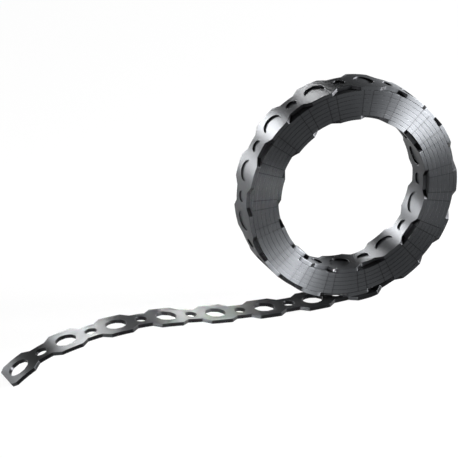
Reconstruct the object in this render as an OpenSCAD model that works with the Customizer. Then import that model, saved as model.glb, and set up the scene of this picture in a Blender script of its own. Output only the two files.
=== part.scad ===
// Perforated steel strap with wavy edges: a roll standing on its rim, its free end run out on the floor.
// Millimetres, +Z up. The roll's axis lies along Y and the free end runs out towards -X.

/* [Strap] */
// width across the wide parts
strap_w = 19.5; // [16.5:1:22.5]
// width across the necks between them
neck_w = 12.8; // [11:0.1:14.5]
// thickness of the steel
strap_t = 2; // [1:0.1:2.4]
// distance from one large hole to the next
hole_pitch = 26.5; // [25.5:0.1:29]
// diameter of the large holes, which sit in the wide parts
large_d = 10.6; // [8:0.1:12]
// diameter of the small holes, which sit in the necks
small_d = 6; // [4:0.1:7]
// straight length of edge along each wide part
wide_run = 11.2; // [9:0.1:12]
// length of each slope from a wide part to a neck
slope_run = 3.8; // [3:0.1:5]
// last large hole's centre to the cut end
end_run = 8; // [7:0.1:9]

/* [Coil] */
// inside diameter at the inner end of the strap
bore_d = 77.1; // [70:0.1:100]
// half turns in the coil
half_turns = 16; // [12:2:20]
// clearance between one turn and the next
turn_gap = 0.2; // [0.1:0.05:0.4]
// angle left off the first half turn, up to the inner end
inner_cut = 60; // [20:1:150]
// depth of the grooves between the turns on the coil's two ends
groove_d = 1; // [0.5:0.1:2]

/* [Tail] */
// angle before the coil's lowest point at which the strap leaves it
leave_angle = 20; // [18:1:30]
// straight run after the strap leaves the coil
leave_run = 8; // [6:0.1:14]
// outside radius of the bend that rests on the floor
foot_r = 28; // [20:1:36]
// length of the slow rise from the floor
rise_run = 96.7; // [50:0.1:110]
// angle of the strap at the end of that rise
rise_angle = 12; // [8:1:20]
// length of the arch after the rise
arch_run = 64; // [50:1:120]
// downward angle of the strap at the end of the arch
arch_fall = 9; // [4:1:14]
// radius of the last bend, which brings the cut end down to the floor
tip_r = 70; // [50:1:120]

/* [Hidden] */

// facets round a full circle: of the coil, of the tail's bends and of a hole
turn_fn = 72;
bend_fn = 360;
hole_fn = 24;
// half turns at the bore, and at the rim, that stand clear of the core
free_halves = 4;
// how far a slim stretch of the tail reaches into its neighbours, and how far its faces sit inside theirs
root_run = 0.15;
root_inset = 0.02;
// extra reach of a cutting tool past the metal it cuts
over = 1;

step = (strap_t + turn_gap) / 2;
last = half_turns - 1;
spin = 90 + leave_angle;
wave_d = (strap_w - neck_w) / 2;
neck_half = (hole_pitch - wide_run) / 2 - slope_run;
bite_half = neck_half + slope_run * (wave_d + over) / wave_d;
tool_reach = strap_t + 2 * over + 2 * pow(bite_half, 2) / bore_d;
core_in = turn_r(free_halves) + turn_gap / 2;
core_out = turn_r(last - free_halves) + strap_t - turn_gap / 2;

rise_r = rise_run / rad(rise_angle);
arch_r = arch_run / rad(rise_angle + arch_fall);
tip_drop = rise_r * (1 - cos(rise_angle)) + arch_r * (cos(arch_fall) - cos(rise_angle));
tip_turn = acos(cos(arch_fall) - tip_drop / tip_r) - arch_fall;
// stretches of the tail: length along its under side, and the angle that it turns through
bends = [
    [leave_run, 0],
    [foot_r * rad(leave_angle), -leave_angle],
    [rise_run, -rise_angle],
    [arch_run, rise_angle + arch_fall],
    [tip_r * rad(tip_turn), tip_turn]
];
last_bend = len(bends) - 1;
tail_run = run_before(len(bends));
tail_start = (turn_c(last) - turn_r(last) - strap_t) * ray(spin);
hole_start = tail_run - end_run;

tip_at = walk(tail_run);
floor_z = walk(run_before(2))[1];
left_x = tip_at[0] + strap_t * sin(tip_at[2]);
right_x = turn_c(last) * cos(spin) + turn_r(last) + strap_t;
mid_x = (left_x + right_x) / 2;

function rad(a) = a * PI / 180;
function ray(a) = [cos(a), sin(a)];

// Coil: each half turn is a true arc, with its centre moved by half a step so that the turns join smoothly.
function turn_r(k) = bore_d / 2 + k * step;
function turn_c(k) = (k % 2 == 0 ? 1 : -1) * step / 2;
function mid_r(k) = turn_r(k) + strap_t / 2;
function turn_run(k) = PI * mid_r(k);
// length of strap from the outer end of half turn k to the place where the strap leaves the coil
function run_after(k) = k >= last ? 0 : turn_run(k + 1) + run_after(k + 1);
// half turn that holds the point u along the strap, counted back from the place where it leaves the coil
function owner(u, k = last) = (k <= 0 || u < run_after(k) + turn_run(k)) ? k : owner(u, k - 1);
// share of a half turn, counted from its inner end, that shows in the bore or on the rim
function shown(k) = (k < 2 || k > last - 2) ? 1 : (k == 2 ? inner_cut / 180 : 0);

// Tail: a walk along its stretches, giving x, y and the heading at length s from the coil.
function run_before(i) = i <= 0 ? 0 : bends[i - 1][0] + run_before(i - 1);
function bend_end(p, h, bend, s) = bend[1] == 0
    ? p + s * ray(h)
    : let (turn = bend[1] * s / bend[0])
      p + bend[0] / rad(bend[1]) * [sin(h + turn) - sin(h), cos(h) - cos(h + turn)];
function walk(s, i = 0, p = tail_start, h = spin + 90) = (s <= bends[i][0] || i == last_bend)
    ? concat(bend_end(p, h, bends[i], s), h + bends[i][1] * s / bends[i][0])
    : walk(s - bends[i][0], i + 1, bend_end(p, h, bends[i], bends[i][0]), h + bends[i][1]);

// Frames at a place on the strap: X through its thickness, Y along it, Z across it.
module at_turn(u) {
    k = owner(u);
    angle = (k % 2 == 0 ? 0 : 180) + (u - run_after(k)) / rad(mid_r(k));
    translate([turn_c(k), 0, 0])
        rotate([0, 0, angle])
            translate([mid_r(k), 0, 0])
                children();
}

module at_tail(s, depth) {
    at = walk(s);
    translate([at[0], at[1], 0])
        rotate([0, 0, at[2] - 90])
            translate([depth, 0, 0])
                children();
}

// Round tool for a hole, through the strap's thickness.
module hole_tool(d) {
    rotate([0, 90, 0])
        cylinder(d = d, h = tool_reach, center = true, $fn = hole_fn);
}

// The bite that narrows one edge of the strap at a neck.
module bite(side) {
    rotate([90, 0, 90])
        linear_extrude(height = tool_reach, center = true)
            polygon([
                [-neck_half, side * neck_w / 2],
                [-bite_half, side * (strap_w / 2 + over)],
                [bite_half, side * (strap_w / 2 + over)],
                [neck_half, side * neck_w / 2]
            ]);
}

// What is cut at half pitch j, counted from the cut end: a large hole, or a small hole and its neck.
module punch(j) {
    if (j % 2 == 0)
        hole_tool(large_d);
    else {
        hole_tool(small_d);
        for (side = [-1, 1])
            bite(side);
    }
}

module half_tube(k) {
    translate([turn_c(k), 0, 0])
        rotate([0, 0, k % 2 == 0 ? 0 : 180])
            rotate_extrude(angle = k == 0 ? 180 - inner_cut : 180, $fn = turn_fn)
                translate([turn_r(k), -strap_w / 2])
                    square([strap_t, strap_w]);
}

// One half turn; where it shows in the bore or on the rim, it has its holes and its wavy edges.
module half_turn(k) {
    upto = run_after(k) + turn_run(k) + bite_half;
    from = upto - shown(k) * turn_run(k) - 2 * bite_half;
    difference() {
        half_tube(k);
        if (shown(k) > 0)
            for (j = [ceil(2 * (from + hole_start) / hole_pitch) : floor(2 * (upto + hole_start) / hole_pitch)])
                at_turn(j * hole_pitch / 2 - hole_start)
                    punch(j);
    }
}

// Turned core that joins the turns between the bore and the rim.
module core() {
    rotate_extrude($fn = turn_fn)
        translate([core_in, groove_d - strap_w / 2])
            square([core_out - core_in, strap_w - 2 * groove_d]);
}

// One stretch of the tail; every second one is slim and is let into its neighbours.
module stretch(i) {
    slim = i % 2 == 0 ? root_inset : 0;
    ahead = i % 2 == 0 ? root_run : 0;
    beyond = i == last_bend ? 0 : ahead;
    run = bends[i][0];
    turn = bends[i][1];
    at_tail(run_before(i), 0)
        if (turn == 0)
            translate([slim, -ahead, -strap_w / 2])
                cube([strap_t - 2 * slim, run + ahead + beyond, strap_w]);
        else {
            r = run / rad(abs(turn));
            translate([turn > 0 ? -r : r, 0, 0])
                rotate([0, 0, turn > 0 ? -ahead / rad(r) : 180 + turn - beyond / rad(r)])
                    rotate_extrude(angle = (run + ahead + beyond) / rad(r), $fn = bend_fn)
                        translate([(turn > 0 ? r : r - strap_t) + slim, -strap_w / 2])
                            square([strap_t - 2 * slim, strap_w]);
        }
}

// The free end, from the outer turn to the cut end on the floor.
module tail() {
    difference() {
        for (i = [0 : last_bend])
            stretch(i);
        for (j = [-1 : floor(2 * (hole_start + bite_half) / hole_pitch)])
            at_tail(hole_start - j * hole_pitch / 2, strap_t / 2)
                punch(j);
    }
}

module strap() {
    color("slategray")
        translate([-mid_x, 0, -floor_z])
            rotate([90, 0, 0]) {
                rotate([0, 0, spin]) {
                    core();
                    for (k = [0 : last])
                        half_turn(k);
                }
                tail();
            }
}

strap();
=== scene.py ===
import math
import bpy
import numpy as np
from mathutils import Matrix, Vector
from mathutils.geometry import delaunay_2d_cdt


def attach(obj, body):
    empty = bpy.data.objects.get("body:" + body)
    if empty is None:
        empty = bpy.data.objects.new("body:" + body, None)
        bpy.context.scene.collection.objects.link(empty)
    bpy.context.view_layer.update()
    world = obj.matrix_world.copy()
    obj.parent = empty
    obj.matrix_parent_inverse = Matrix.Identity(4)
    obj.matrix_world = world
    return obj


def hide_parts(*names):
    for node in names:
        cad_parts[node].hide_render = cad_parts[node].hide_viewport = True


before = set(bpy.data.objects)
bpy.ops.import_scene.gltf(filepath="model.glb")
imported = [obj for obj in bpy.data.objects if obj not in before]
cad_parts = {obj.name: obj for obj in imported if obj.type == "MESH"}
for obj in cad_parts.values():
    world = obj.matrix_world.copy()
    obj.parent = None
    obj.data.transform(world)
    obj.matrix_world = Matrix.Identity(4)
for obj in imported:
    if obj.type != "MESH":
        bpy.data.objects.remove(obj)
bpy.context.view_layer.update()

# Perforated steel strap: a coil that stands on its rim, with its free end run out on the floor.
# The strap's sizes are in millimetres, and its mesh and the scene are in metres.
MM = 0.001

# Sizes from the part's source.
strap_w, neck_w, strap_t = 19.5, 12.8, 2.0
hole_pitch, large_d, small_d = 26.5, 10.6, 6.0
wide_run, slope_run, end_run = 11.2, 3.8, 8.0
bore_d, half_turns, turn_gap, inner_cut = 77.1, 16, 0.2, 60.0
leave_angle, leave_run, foot_r = 20.0, 8.0, 28.0
rise_run, rise_angle, arch_run, arch_fall, tip_r = 96.7, 12.0, 64.0, 9.0, 70.0

# Fine sizes that only the visual model has.
edge_round, corner_round, plain_round = 0.16, 0.45, 0.1
# Half width and depth of the lines across the coil's face.
line_half, line_deep = 0.35, 0.12
# How far the plain turns close up on each other, and how deep the next turn lies in a hole of the coil.
snug, sunk = 0.05, 0.9
# Length of punched strap past the first full turn in the bore.
bore_lap = 6.0
# Share of painted shade on the punched walls, and the lean along the strap that makes a wall a wave's slope.
painted_wall_shade, slope_lean = 0.95, 0.3

# Mesh: longest pieces of the edges, spacing and rows of the points between them, and their clearance.
edge_piece, plain_piece = 1.9, 1.8
grid_along, grid_across, grid_rows, grid_clear = 2.1, 2.5, 8, 0.9
# Least distance of a wave's corner and of a hole from the ends of a punched length.
corner_clear, hole_clear = 0.5, 0.3
# Least distance of a line from the ends of a plain length, and of the mesh's other stops from a line.
line_clear, line_room = 1.0, 3 * line_half
# Decimals of the stops along a plain length, and the distance at which points of a face become one.
stop_digits, weld = 4, 1e-5
# Sides of the large holes, of the small holes and of the discs in the coil's holes.
large_sides, small_sides, disc_sides = 44, 30, 32
# Steps round a corner, and round a plain turn's edge in degrees.
corner_steps = (0.0, 0.33, 0.67, 1.0)
edge_steps = (0, 30, 60, 90)
# Distance on the texture between a face and the walls beside it.
wall_apart = 30.0

# The strap's path, as in the part's source.
step = (strap_t + turn_gap) / 2
last = half_turns - 1
spin = 90 + leave_angle
turn_r = np.array([bore_d / 2 + k * step for k in range(half_turns)])
turn_c = np.array([(step if k % 2 == 0 else -step) / 2 for k in range(half_turns)])
mid_r = turn_r + strap_t / 2
turn_run = math.pi * mid_r
run_after = np.array([turn_run[k + 1:].sum() for k in range(half_turns)])
coil_run = turn_run.sum() - math.radians(inner_cut) * mid_r[0]

rise_r = rise_run / math.radians(rise_angle)
arch_r = arch_run / math.radians(rise_angle + arch_fall)
tip_drop = rise_r * (1 - math.cos(math.radians(rise_angle)))
tip_drop += arch_r * (math.cos(math.radians(arch_fall)) - math.cos(math.radians(rise_angle)))
tip_turn = math.degrees(math.acos(math.cos(math.radians(arch_fall)) - tip_drop / tip_r)) - arch_fall
# Stretches of the tail: length along its under side, and the angle that it turns through.
bends = [
    (leave_run, 0.0),
    (foot_r * math.radians(leave_angle), -leave_angle),
    (rise_run, -rise_angle),
    (arch_run, rise_angle + arch_fall),
    (tip_r * math.radians(tip_turn), tip_turn),
]
tail_run = sum(run for run, _ in bends)
hole_start = tail_run - end_run


def ray(a):
    """Unit vectors at angles a, in degrees."""
    return np.stack([np.cos(np.radians(a)), np.sin(np.radians(a))], axis=-1)


def along_bend(p, h, run, turn, part):
    """Points and headings at lengths part along a stretch that starts at p with heading h."""
    head = h + turn * part / run
    if turn == 0:
        return p + part[:, None] * ray(h), head
    swing = np.stack([np.sin(np.radians(head)) - math.sin(math.radians(h)),
                      math.cos(math.radians(h)) - np.cos(np.radians(head))], axis=-1)
    return p + run / math.radians(turn) * swing, head


def walk(s):
    """Points on the tail's under side, and headings, at lengths s from the coil."""
    p = (turn_c[last] - turn_r[last] - strap_t) * ray(spin)
    h = spin + 90.0
    spot = np.zeros((len(s), 2))
    head = np.zeros(len(s))
    done = 0.0
    for i, (run, turn) in enumerate(bends):
        here = (s >= done) | (i == 0)
        spot[here], head[here] = along_bend(p, h, run, turn, s[here] - done)
        ends, heads = along_bend(p, h, run, turn, np.array([run]))
        p, h = ends[0], heads[0]
        done += run
    return spot, head


foot_z = walk(np.array([bends[0][0] + bends[1][0]]))[0][0, 1]
tip_spot, tip_head = walk(np.array([tail_run]))
left_x = tip_spot[0, 0] + strap_t * math.sin(math.radians(tip_head[0]))
right_x = turn_c[last] * math.cos(math.radians(spin)) + turn_r[last] + strap_t
# Place of the coil's centre, as X and Z.
coil_at = np.array([-(left_x + right_x) / 2, -foot_z])


def path(u):
    """Middle of the strap's thickness, its side towards the coil's centre and its run, at lengths u along it.

    u counts from the place where the strap leaves the coil: up into the coil, down along the tail."""
    u = np.asarray(u, dtype=float)
    k = last - np.clip(np.searchsorted(run_after[::-1], u, side="right") - 1, 0, last)
    a = np.where(k % 2 == 0, 0.0, 180.0) + np.degrees((u - run_after[k]) / mid_r[k])
    turned = ray(a + spin)
    middle = turn_c[k][:, None] * ray(spin) + mid_r[k][:, None] * turned
    inward = -turned
    along = np.stack([-turned[:, 1], turned[:, 0]], axis=-1)
    out = u < 0
    if out.any():
        spot, head = walk(-u[out])
        inward[out] = ray(head - 90)
        along[out] = -ray(head)
        middle[out] = spot + inward[out] * strap_t / 2
    return middle + coil_at, inward, along


def solid(u, v, w):
    """Points in metres: u along the strap, v across it, w through it towards the coil's centre."""
    middle, inward, _ = path(u)
    flat = middle + inward * np.asarray(w)[:, None]
    return np.stack([flat[:, 0], np.asarray(v), flat[:, 1]], axis=-1) * MM


def direction(u, a, b, c):
    """Unit vectors with parts a along the strap, b across it and c towards the coil's centre."""
    _, inward, along = path(u)
    flat = along * np.asarray(a)[:, None] + inward * np.asarray(c)[:, None]
    d = np.stack([flat[:, 0], np.asarray(b), flat[:, 1]], axis=-1)
    return d / np.linalg.norm(d, axis=1)[:, None]


class Sheet:
    """Points, normals, faces, strap coordinates and shares of painted shade, gathered into one mesh."""

    def __init__(self):
        self.points, self.normals, self.faces, self.uv, self.dark = [], [], [], [], []
        self.count = 0

    def add(self, u, v, w, a, b, c, uv_v, dark=None):
        """Adds points with their normals, and gives the number of the first."""
        u = np.asarray(u, dtype=float)
        start = self.count
        self.points.append(solid(u, v, w))
        self.normals.append(direction(u, a, b, c))
        self.uv.append(np.stack([u * MM, np.asarray(uv_v, dtype=float) * MM], axis=-1))
        self.dark.append(np.zeros(len(u)) if dark is None else np.asarray(dark, dtype=float))
        self.count += len(u)
        return start

    def mesh(self, name):
        """The mesh of all that was added."""
        me = bpy.data.meshes.new(name)
        me.from_pydata(np.concatenate(self.points).tolist(), [], self.faces)
        layer = me.uv_layers.new(name="strip")
        loops = np.zeros(len(me.loops), dtype=np.int32)
        me.loops.foreach_get("vertex_index", loops)
        layer.data.foreach_set("uv", np.concatenate(self.uv)[loops].ravel())
        # Share of painted shade at each point.
        mark = me.attributes.new("painted_shade", "FLOAT", "POINT")
        mark.data.foreach_set("value", np.concatenate(self.dark))
        me.polygons.foreach_set("use_smooth", np.ones(len(me.polygons), dtype=bool))
        me.validate()
        me.normals_split_custom_set_from_vertices(np.concatenate(self.normals).tolist())
        me.update()
        return me


def rounded(corners, radius, most):
    """A line through the corners with each inner corner rounded, and no piece of it longer than most."""
    line = [np.array(corners[0], dtype=float)]
    for i in range(1, len(corners) - 1):
        a, p, b = (np.array(corners[i + d], dtype=float) for d in (-1, 0, 1))
        da, db = (a - p) / np.linalg.norm(a - p), (b - p) / np.linalg.norm(b - p)
        half = math.acos(max(-1.0, min(1.0, float(da @ db)))) / 2
        back = radius / math.tan(half)
        centre = p + (da + db) / np.linalg.norm(da + db) * radius / math.sin(half)
        ends = [p + da * back, p + db * back]
        for f in corner_steps:
            d = (1 - f) * (ends[0] - centre) + f * (ends[1] - centre)
            line.append(centre + d / np.linalg.norm(d) * radius)
    line.append(np.array(corners[-1], dtype=float))
    fine = [line[0]]
    for a, b in zip(line[:-1], line[1:]):
        n = max(1, math.ceil(np.linalg.norm(b - a) / most))
        fine.extend(a + (b - a) * j / n for j in range(1, n + 1))
    return np.array(fine)


def loop_normals(p):
    """Outward normals of a closed loop that runs with the metal on its left."""
    e = np.roll(p, -1, axis=0) - p
    n = np.stack([e[:, 1], -e[:, 0]], axis=-1) / np.linalg.norm(e, axis=1)[:, None]
    m = n + np.roll(n, 1, axis=0)
    return m / np.linalg.norm(m, axis=1)[:, None]


def inside(points, loop):
    """Which of the points lie inside a closed loop."""
    x, y = points[:, 0][:, None], points[:, 1][:, None]
    a, b = loop, np.roll(loop, -1, axis=0)
    over = (a[:, 1] > y) != (b[:, 1] > y)
    # A level side is never crossed, so any height but nothing will do for it.
    dy = np.where(b[:, 1] == a[:, 1], 1.0, b[:, 1] - a[:, 1])
    cut = a[:, 0] + (y - a[:, 1]) / dy * (b[:, 0] - a[:, 0])
    return ((over & (x < cut)).sum(axis=1) % 2) == 1


def pitches(u0, u1):
    """Numbers of the large holes from u0 to u1, counted from the cut end, with one more at each end."""
    first = math.floor((u0 + hole_start) / hole_pitch) - 1
    upto = math.ceil((u1 + hole_start) / hole_pitch) + 1
    return first, upto


def wave_corners(u0, u1):
    """Corners of one edge of the strap, from before u0 to after u1."""
    first, upto = pitches(u0, u1)
    corners = []
    for i in range(first, upto + 1):
        c = i * hole_pitch - hole_start
        corners += [(c - wide_run / 2 - slope_run, neck_w / 2), (c - wide_run / 2, strap_w / 2),
                    (c + wide_run / 2, strap_w / 2), (c + wide_run / 2 + slope_run, neck_w / 2)]
    return np.array(corners)


def hole_places(u0, u1):
    """Centre, radius and sides of each hole that lies between u0 and u1."""
    first, upto = pitches(u0, u1)
    holes = []
    for j in range(2 * first, 2 * upto + 1):
        c = j * hole_pitch / 2 - hole_start
        r, sides = (large_d / 2, large_sides) if j % 2 == 0 else (small_d / 2, small_sides)
        if u0 + hole_clear < c - r and c + r < u1 - hole_clear:
            holes.append((c, r, sides))
    return holes


def outline(u0, u1, corners):
    """The closed edge of the strap from u0 to u1, with the metal on its left."""
    cu, cv = corners.T
    start = (u0 + u1) / 2
    v0, v_start, v1 = np.interp((u0, start, u1), cu, cv)
    high = [(u, v) for u, v in corners if u0 + corner_clear < u < u1 - corner_clear]
    low = [(u, -v) for u, v in high]
    line = [(start, -v_start)] + [p for p in low if p[0] > start] + [(u1, -v1), (u1, v1)]
    line += high[::-1] + [(u0, v0), (u0, -v0)] + [p for p in low if p[0] < start] + [(start, -v_start)]
    return rounded(line, corner_round, edge_piece)[:-1]


def fill(rims, grid, holes):
    """Points and triangles of the face inside the rims, and the numbers of each rim's points."""
    seams, starts, at = [], [], 0
    for rim in rims:
        n = len(rim)
        starts.append(at)
        seams += [(at + i, at + (i + 1) % n) for i in range(n)]
        at += n
    flat = [Vector(p) for p in np.concatenate(rims + [grid])]
    co, _, tri, origin, _, _ = delaunay_2d_cdt(flat, seams, [], 0, weld, True)
    new_of = {old: new for new, olds in enumerate(origin) for old in olds}
    co = np.array([tuple(p) for p in co])
    tri = np.array([tuple(t) for t in tri])
    middle = co[tri].mean(axis=1)
    keep = inside(middle, rims[0])
    for c, r, _ in holes:
        keep &= np.hypot(middle[:, 0] - c, middle[:, 1]) > r
    tri = tri[keep]
    a, b = co[tri[:, 1]] - co[tri[:, 0]], co[tri[:, 2]] - co[tri[:, 0]]
    turned = a[:, 0] * b[:, 1] < a[:, 1] * b[:, 0]
    tri[turned] = tri[turned][:, ::-1]
    places = [[new_of[start + i] for i in range(len(rim))] for rim, start in zip(rims, starts)]
    return co, tri, places


def wall(sheet, p, m, dark, inner_rim, outer_rim):
    """The punched wall along a loop p with normals m, between the rims of the two faces; dark is the share of
    painted shade on its middle rows.
    """
    n = len(p)
    half = strap_t / 2
    soft = edge_round * (1 - math.sqrt(0.5))
    rows = [inner_rim]
    for back, w, c in ((soft, half - soft, 1.0), (0.0, half - edge_round, 0.0),
                       (0.0, edge_round - half, 0.0), (soft, soft - half, -1.0)):
        q = p - back * m
        s = sheet.add(q[:, 0], q[:, 1], np.full(n, w), m[:, 0], m[:, 1], np.full(n, c),
                      q[:, 1] + wall_apart + w, dark * (c == 0))
        rows.append(list(range(s, s + n)))
    rows.append(outer_rim)
    for top, low in zip(rows[:-1], rows[1:]):
        for i in range(n):
            j = (i + 1) % n
            sheet.faces.append((top[i], low[i], low[j], top[j]))


def next_turn(sheet, c, r, side):
    """A disc in a hole of the coil, which shows the next turn: side is 1 in the bore and -1 on the rim."""
    n = disc_sides
    a = 2 * math.pi * np.arange(n) / n
    u, v = np.append(c + r * np.cos(a), c), np.append(r * np.sin(a), 0.0)
    nil = np.zeros(n + 1)
    s = sheet.add(u, v, nil + side * (strap_t / 2 - sunk), nil, nil, nil + side, v)
    for i in range(n):
        j = (i + 1) % n
        sheet.faces.append((s + n, s + i, s + j) if side > 0 else (s + n, s + j, s + i))


def punched(sheet, u0, u1):
    """The strap from u0 to u1 with its wavy edges, its holes and softly rounded edges."""
    corners = wave_corners(u0, u1)
    holes = hole_places(u0, u1)
    edge = outline(u0, u1, corners)
    loops = [(edge, loop_normals(edge))]
    for c, r, sides in holes:
        a = -2 * math.pi * np.arange(sides) / sides
        spoke = np.stack([np.cos(a), np.sin(a)], axis=-1)
        loops.append((np.array([c, 0.0]) + r * spoke, -spoke))
    along = np.arange(u0 + 2 * corner_clear, u1 - corner_clear, grid_along)
    across = (np.arange(grid_rows) - (grid_rows - 1) / 2) * grid_across
    grid = np.array([(u, v) for u in along for v in across])
    free = inside(grid, edge) & (np.abs(grid[:, 1]) < np.interp(grid[:, 0], *corners.T) - grid_clear)
    for c, r, _ in holes:
        free &= np.hypot(grid[:, 0] - c, grid[:, 1]) > r + grid_clear
    co, tri, places = fill([p - edge_round * m for p, m in loops], grid[free], holes)
    nil = np.zeros(len(co))
    inner = sheet.add(co[:, 0], co[:, 1], nil + strap_t / 2, nil, nil, nil + 1, co[:, 1])
    outer = sheet.add(co[:, 0], co[:, 1], nil - strap_t / 2, nil, nil, nil - 1, co[:, 1])
    sheet.faces += [(inner + a, inner + b, inner + c) for a, b, c in tri.tolist()]
    sheet.faces += [(outer + a, outer + c, outer + b) for a, b, c in tri.tolist()]
    # Painted shade darkens the holes, the tail's edges except for slopes towards its cut end, and the coil's
    # slopes.
    p, m = loops[0]
    edge_dark = np.where(p[:, 0] < 0, m[:, 0] > -slope_lean, np.abs(m[:, 0]) > slope_lean)
    darks = [painted_wall_shade * edge_dark] + [np.full(len(p), painted_wall_shade) for p, m in loops[1:]]
    for (p, m), dark, place in zip(loops, darks, places):
        wall(sheet, p, m, dark, [inner + i for i in place], [outer + i for i in place])
    side = -1 if u0 < 0 else 1
    for c, r, _ in holes:
        if c > 0:
            next_turn(sheet, c, r, side)


def plain(sheet, u0, u1, lines):
    """The strap from u0 to u1 with straight edges, cut by fine lines at the given places."""
    pieces = math.ceil((u1 - u0) / plain_piece)
    stops = {round(u, stop_digits): 0.0 for u in np.linspace(u0, u1, pieces + 1)}
    for u in lines:
        if u0 + line_clear < u < u1 - line_clear:
            for near in [s for s in stops if abs(s - u) < line_room]:
                del stops[near]
            stops[round(u - line_half, stop_digits)] = 0.0
            stops[round(u, stop_digits)] = 1.0
            stops[round(u + line_half, stop_digits)] = 0.0
    along = np.array(sorted(stops))
    deep = np.array([stops[u] for u in sorted(stops)])
    r, w, h = plain_round, strap_t / 2 + snug, strap_w / 2
    arc = [(math.cos(math.radians(a)), math.sin(math.radians(a))) for a in edge_steps]
    ring = []
    for sw, sv, turn in ((1, 1, 1), (-1, 1, -1), (-1, -1, 1), (1, -1, -1)):
        ring += [(sw * (w - r + r * c), sv * (h - r + r * s), sw * c, sv * s) for c, s in arc[::turn]]
    n = len(along)
    nil = np.zeros(n)
    rows = []
    for pw, pv, nw, nv in ring:
        # Each line across the coil's face is sunk and carries painted shade along its middle.
        v = pv - line_deep * deep * np.sign(pv)
        rows.append(sheet.add(along, v, nil + pw, nil, nil + nv, nil + nw, nil + pv + pw, deep))
    for a, b in zip(rows, rows[1:] + rows[:1]):
        sheet.faces += [(a + i, a + i + 1, b + i + 1, b + i) for i in range(n - 1)]
    sheet.faces.append(rows)
    sheet.faces.append([s + n - 1 for s in rows][::-1])


def angles_of(u):
    """Angles round the coil's centre, in degrees, of lengths u along the strap."""
    middle = path(u)[0] - coil_at
    return np.degrees(np.arctan2(middle[:, 1], middle[:, 0])) % 360


def face_lines(u0, u1):
    """Places on the plain turns that lie in line with the wave corners between u0 and u1."""
    corners = wave_corners(u0, u1)[:, 0]
    marks = sorted(angles_of(corners[(u0 <= corners) & (corners <= u1)]))
    lines = []
    # The two half turns at the bore and the two at the rim are punched.
    for k in range(2, last - 1):
        base = (0 if k % 2 == 0 else 180) + spin
        turns = [(a - base) % 360 for a in marks]
        lines += [run_after[k] + math.radians(turn) * mid_r[k] for turn in turns if turn < 180]
    return lines


def strap_mesh(name):
    """The strap: its punched ends, and the plain-edged turns between them."""
    rim_end = turn_run[last] + turn_run[last - 1]
    bore_start = run_after[2] + turn_run[2] * (1 - inner_cut / 180) - bore_lap
    sheet = Sheet()
    punched(sheet, -tail_run, rim_end)
    punched(sheet, bore_start, coil_run)
    plain(sheet, rim_end, bore_start, face_lines(bore_start, coil_run))
    return sheet.mesh(name)


def steel():
    """Dark rolled steel: streaks along the strap, a cloudy tint, and painted shade on punched walls and in
    lines.
    """
    mat = bpy.data.materials.new("steel")
    mat.use_nodes = True
    nodes, links = mat.node_tree.nodes, mat.node_tree.links
    nodes.clear()

    def add(kind, **values):
        node = nodes.new("ShaderNode" + kind)
        for key, value in values.items():
            setattr(node, key, value)
        return node

    out = add("OutputMaterial")
    bsdf = add("BsdfPrincipled")
    links.new(bsdf.outputs["BSDF"], out.inputs["Surface"])
    bsdf.inputs["Metallic"].default_value = 1.0
    bsdf.inputs["Anisotropic"].default_value = 0.85
    bsdf.inputs["Anisotropic Rotation"].default_value = 0.25
    tangent = add("Tangent", direction_type="UV_MAP", uv_map="strip")
    links.new(tangent.outputs["Tangent"], bsdf.inputs["Tangent"])

    # Rolling streaks: noise drawn out along the strap.
    strip = add("UVMap", uv_map="strip")
    drawn = add("Mapping")
    drawn.inputs["Scale"].default_value = (25, 2600, 1)
    links.new(strip.outputs["UV"], drawn.inputs["Vector"])
    streak = add("TexNoise")
    streak.inputs["Scale"].default_value = 1.0
    streak.inputs["Detail"].default_value = 3.0
    links.new(drawn.outputs["Vector"], streak.inputs["Vector"])

    # Cloudy tint, a few centimetres across.
    place = add("TexCoord")
    cloud = add("TexNoise")
    cloud.inputs["Scale"].default_value = 45.0
    cloud.inputs["Detail"].default_value = 4.0
    links.new(place.outputs["Object"], cloud.inputs["Vector"])
    tint = add("ValToRGB")
    dark, light = tint.color_ramp.elements
    dark.position, dark.color = 0.3, (0.034, 0.0355, 0.038, 1)
    light.position, light.color = 0.7, (0.048, 0.05, 0.053, 1)
    links.new(cloud.outputs["Fac"], tint.inputs["Fac"])

    # Painted shade on the punched walls and in the lines across the coil's face.
    mark = add("Attribute", attribute_name="painted_shade")
    painted_shade = add("Mix", data_type="RGBA")
    painted_shade.inputs["B"].default_value = (0.012, 0.012, 0.013, 1)
    links.new(mark.outputs["Fac"], painted_shade.inputs["Factor"])
    links.new(tint.outputs["Color"], painted_shade.inputs["A"])
    links.new(painted_shade.outputs["Result"], bsdf.inputs["Base Color"])

    rough = add("MapRange")
    rough.inputs["To Min"].default_value = 0.38
    rough.inputs["To Max"].default_value = 0.48
    links.new(streak.outputs["Fac"], rough.inputs["Value"])
    links.new(rough.outputs["Result"], bsdf.inputs["Roughness"])

    bump = add("Bump")
    bump.inputs["Strength"].default_value = 0.12
    bump.inputs["Distance"].default_value = 0.00006
    links.new(streak.outputs["Fac"], bump.inputs["Height"])
    links.new(bump.outputs["Normal"], bsdf.inputs["Normal"])
    return mat


strap = bpy.data.objects.new("strap_steel", strap_mesh("strap_steel"))
bpy.context.collection.objects.link(strap)
strap.data.materials.append(steel())
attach(strap, "root")
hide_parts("strap")


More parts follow.
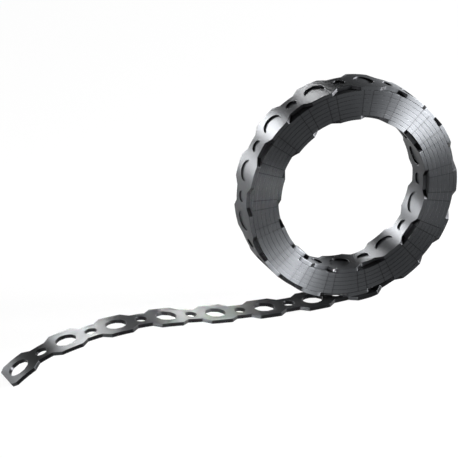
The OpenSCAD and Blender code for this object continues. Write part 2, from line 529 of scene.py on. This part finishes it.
def paper():
    """Pale floor that the camera and reflections see nearly white, with a trace of the object's shadow."""
    glow_share = 0.92
    mat = bpy.data.materials.new("floor")
    mat.use_nodes = True
    nodes, links = mat.node_tree.nodes, mat.node_tree.links
    bsdf = nodes["Principled BSDF"]
    bsdf.inputs["Base Color"].default_value = (0.9, 0.9, 0.9, 1)
    bsdf.inputs["Roughness"].default_value = 0.9
    bsdf.inputs["Specular IOR Level"].default_value = 0.0
    glow = nodes.new("ShaderNodeEmission")
    rays = nodes.new("ShaderNodeLightPath")
    seen = rays.outputs["Is Camera Ray"]
    for kind in ("Is Glossy Ray", "Is Transmission Ray"):
        either = nodes.new("ShaderNodeMath")
        either.operation = "MAXIMUM"
        links.new(seen, either.inputs[0])
        links.new(rays.outputs[kind], either.inputs[1])
        seen = either.outputs["Value"]
    share = nodes.new("ShaderNodeMath")
    share.operation = "MULTIPLY"
    share.inputs[1].default_value = glow_share
    links.new(seen, share.inputs[0])
    pale = nodes.new("ShaderNodeMixShader")
    links.new(share.outputs["Value"], pale.inputs["Fac"])
    links.new(bsdf.outputs["BSDF"], pale.inputs[1])
    links.new(glow.outputs["Emission"], pale.inputs[2])
    links.new(pale.outputs["Shader"], nodes["Material Output"].inputs["Surface"])
    return mat


# Floor: a disc.
floor_r, floor_sides = 2.0, 96
floor_mesh = bpy.data.meshes.new("floor")
floor_rim = [(floor_r * math.cos(a), floor_r * math.sin(a), 0.0)
             for a in np.linspace(0, 2 * math.pi, floor_sides + 1)[:-1]]
floor_mesh.from_pydata(floor_rim, [], [list(range(floor_sides))])
floor_mesh.materials.append(paper())
floor = bpy.data.objects.new("floor", floor_mesh)
bpy.context.collection.objects.link(floor)

# Light: a soft room and soft boxes.
room_light = 0.2
world = bpy.data.worlds.new("studio")
bpy.context.scene.world = world
world.use_nodes = True
room = world.node_tree.nodes["Background"]
room.inputs["Color"].default_value = (1, 1, 1, 1)
room.inputs["Strength"].default_value = room_light


def soft_box(name, aim, way, away, size, spread, watts):
    """A soft box that faces a point from some metres away, its size in metres and its spread in degrees."""
    lamp = bpy.data.lights.new(name, "AREA")
    lamp.shape = "RECTANGLE"
    lamp.size, lamp.size_y = size
    lamp.spread = math.radians(spread)
    lamp.energy = watts
    obj = bpy.data.objects.new(name, lamp)
    way = Vector(way).normalized()
    obj.location = Vector(aim) + away * way
    obj.rotation_euler = (-way).to_track_quat("-Z", "Y").to_euler()
    obj.visible_camera = False
    bpy.context.collection.objects.link(obj)


# Points that the soft boxes face.
coil_mid = (0.065, 0.0, 0.0586)
coil_top = (0.06, 0.0, 0.085)
coil_left = (0.02, 0.0, 0.04)
coil_right = (0.115, 0.0, 0.07)
tail_mid = (-0.024, 0.0, 0.012)
tail_end = (-0.095, 0.0, 0.022)
soft_box("back_left", coil_top, (-0.35, 0.86, 0.36), 0.6, (0.3, 0.2), 19, 0.36)
soft_box("back_low", coil_top, (-0.6, 0.85, 0.08), 0.6, (0.2, 0.15), 30, 0.15)
soft_box("back_top", coil_mid, (0.12, 0.9, 0.42), 0.6, (0.34, 0.15), 16, 0.13)
soft_box("tail_right", tail_mid, (0.48, 0.78, 0.42), 1.2, (0.045, 0.045), 2.2, 0.0027)
soft_box("tail_left", tail_end, (0.24, 0.87, 0.42), 1.2, (0.05, 0.05), 2.2, 0.0038)
soft_box("right_far", coil_mid, (0.88, -0.468, 0.087), 1.4, (0.5, 0.25), 120, 82)
soft_box("right_near", coil_right, (0.82, -0.56, -0.1), 0.36, (0.08, 0.05), 40, 0.12)
soft_box("left_near", coil_left, (-0.86, -0.5, 0.03), 0.9, (0.06, 0.06), 4, 0.06)
soft_box("left_low", coil_mid, (-0.85, -0.5, 0.12), 0.9, (0.4, 0.2), 120, 3)

# Camera: the photograph's angle, found from the holes and edges of the strap.
image_side, focal_px, sensor_mm = 458, 4000, 36
az, el, roll = (math.radians(a) for a in (-19.99, 24.0, 5.44))
# Place of the coil's centre, seen from the camera: to the right, down and ahead, in millimetres.
coil_right_mm, coil_down_mm, coil_ahead_mm = 58.13, -20.86, 2002.43
ahead = Vector((-math.sin(az) * math.cos(el), math.cos(az) * math.cos(el), -math.sin(el)))
level_right = Vector((math.cos(az), math.sin(az), 0))
level_down = ahead.cross(level_right)
right = math.cos(roll) * level_right + math.sin(roll) * level_down
down = math.cos(roll) * level_down - math.sin(roll) * level_right
coil_centre = Vector((coil_at[0], 0, coil_at[1]))
eye = (coil_centre - coil_right_mm * right - coil_down_mm * down - coil_ahead_mm * ahead) * MM
camera = bpy.data.cameras.new("camera")
camera.sensor_width = sensor_mm
camera.sensor_fit = "HORIZONTAL"
camera.lens = sensor_mm * focal_px / image_side
camera.clip_start, camera.clip_end = 0.01, 20
camera_obj = bpy.data.objects.new("camera", camera)
turned = Matrix((right, -down, -ahead)).transposed().to_4x4()
camera_obj.matrix_world = Matrix.Translation(eye) @ turned
bpy.context.collection.objects.link(camera_obj)
bpy.context.scene.camera = camera_obj
bpy.context.scene.view_settings.view_transform = "Standard"
